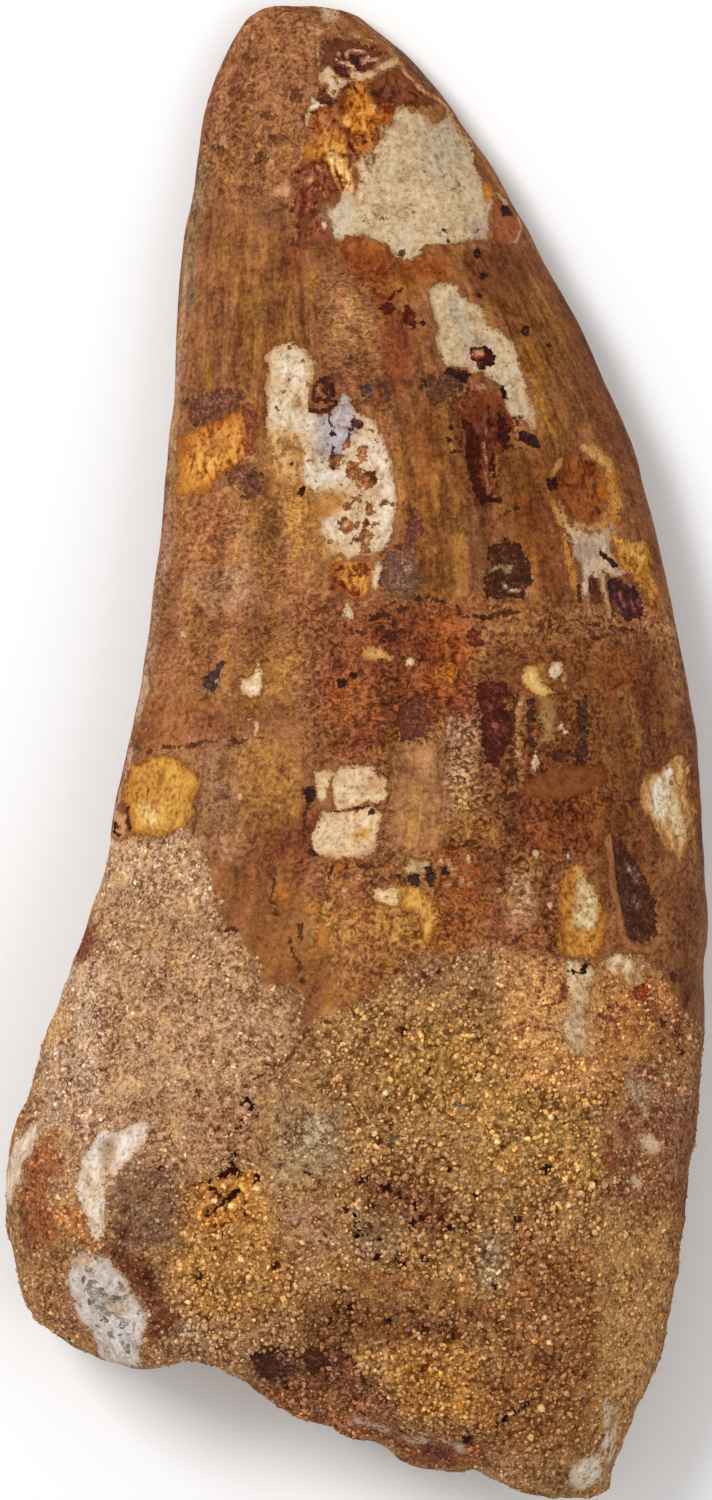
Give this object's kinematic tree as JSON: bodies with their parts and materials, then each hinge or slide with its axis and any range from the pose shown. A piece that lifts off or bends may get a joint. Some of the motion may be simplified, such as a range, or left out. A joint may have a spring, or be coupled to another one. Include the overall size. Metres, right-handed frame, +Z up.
{
  "type": "fossil dinosaur tooth",
  "caption": "Blade-shaped fossil dinosaur tooth lying on its flatter face, with mottled brown enamel, pale flaked patches and sandstone cemented round its broken root.",
  "frame": {"origin": "middle of the outline in X and Y, on the plane that the tooth rests on", "axes": "+Y along the tooth towards its tip, +X towards its bowed front edge, +Z up out of the face that is uppermost as it lies"},
  "size_m": [0.0496, 0.1046, 0.0194],
  "materials": {
    "fossil": "matte"
  },
  "bodies": {
    "root": {"tooth": "fossil"}
  },
  "joints": []
}
